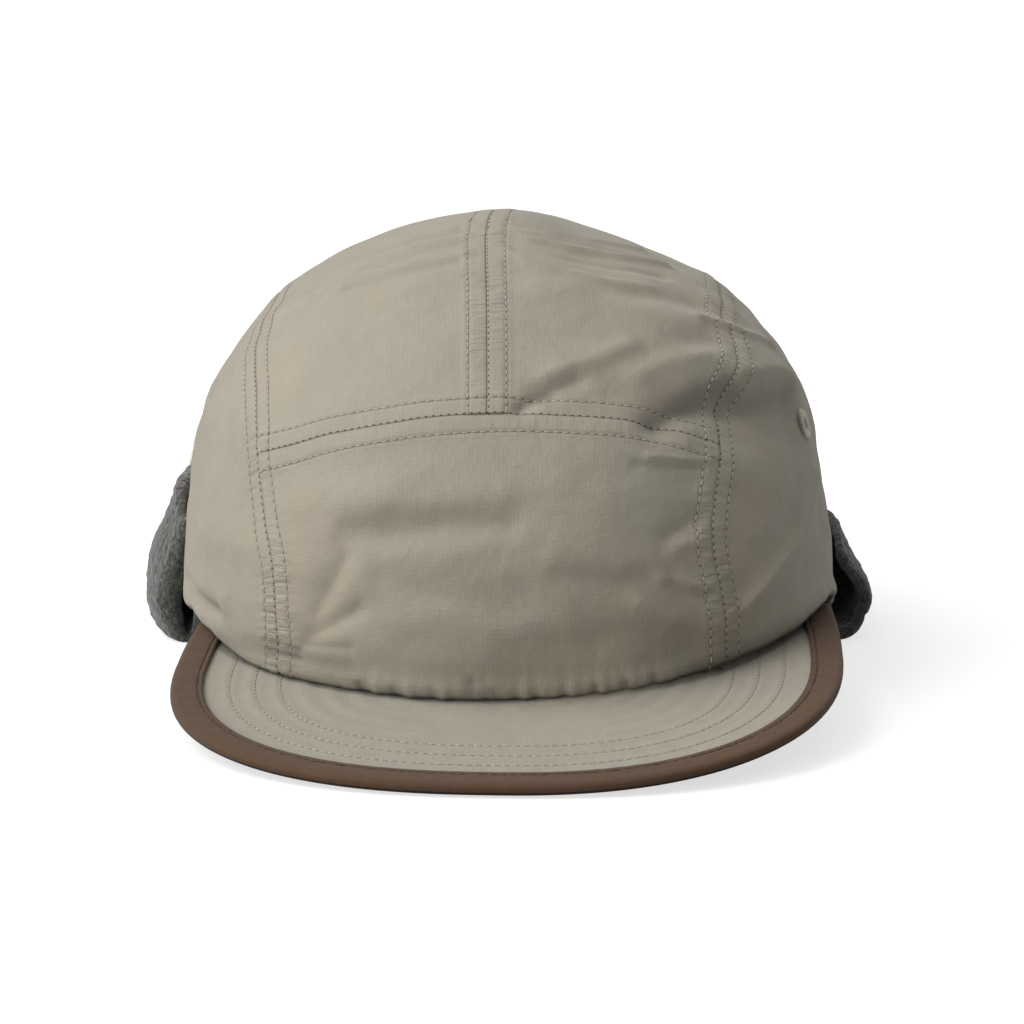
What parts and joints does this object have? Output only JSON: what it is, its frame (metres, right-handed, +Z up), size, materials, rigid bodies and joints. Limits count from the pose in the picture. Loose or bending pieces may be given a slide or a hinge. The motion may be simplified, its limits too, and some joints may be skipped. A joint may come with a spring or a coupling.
{
  "type": "duckbill cap",
  "caption": "Soft low-crowned cap of sewn cloth panels with a short flat duckbill brim, a taped brim edge, sewn eyelets and a fleece ear flap folded up around the sides and back.",
  "frame": {"origin": "under the middle of the whole cap, on the surface it rests on", "axes": "+Z up; -Y the way the brim points, +Y towards the back of the head; +X to the right as seen by someone who faces the brim"},
  "size_m": [0.1966, 0.2666, 0.1188],
  "materials": {
    "crown_cloth": "matte woven",
    "eyelet_thread": "satin thread",
    "tape_cloth": "matte woven",
    "fleece": "brushed fleece"
  },
  "bodies": {
    "root": {"front_panel": "crown_cloth", "upper_panel_left": "crown_cloth", "upper_panel_right": "crown_cloth", "side_panel_left": "crown_cloth", "side_panel_right": "crown_cloth", "eyelet_left": "eyelet_thread", "eyelet_right": "eyelet_thread", "brim": "crown_cloth", "brim_tape": "tape_cloth", "ear_flap": "fleece"}
  },
  "joints": []
}
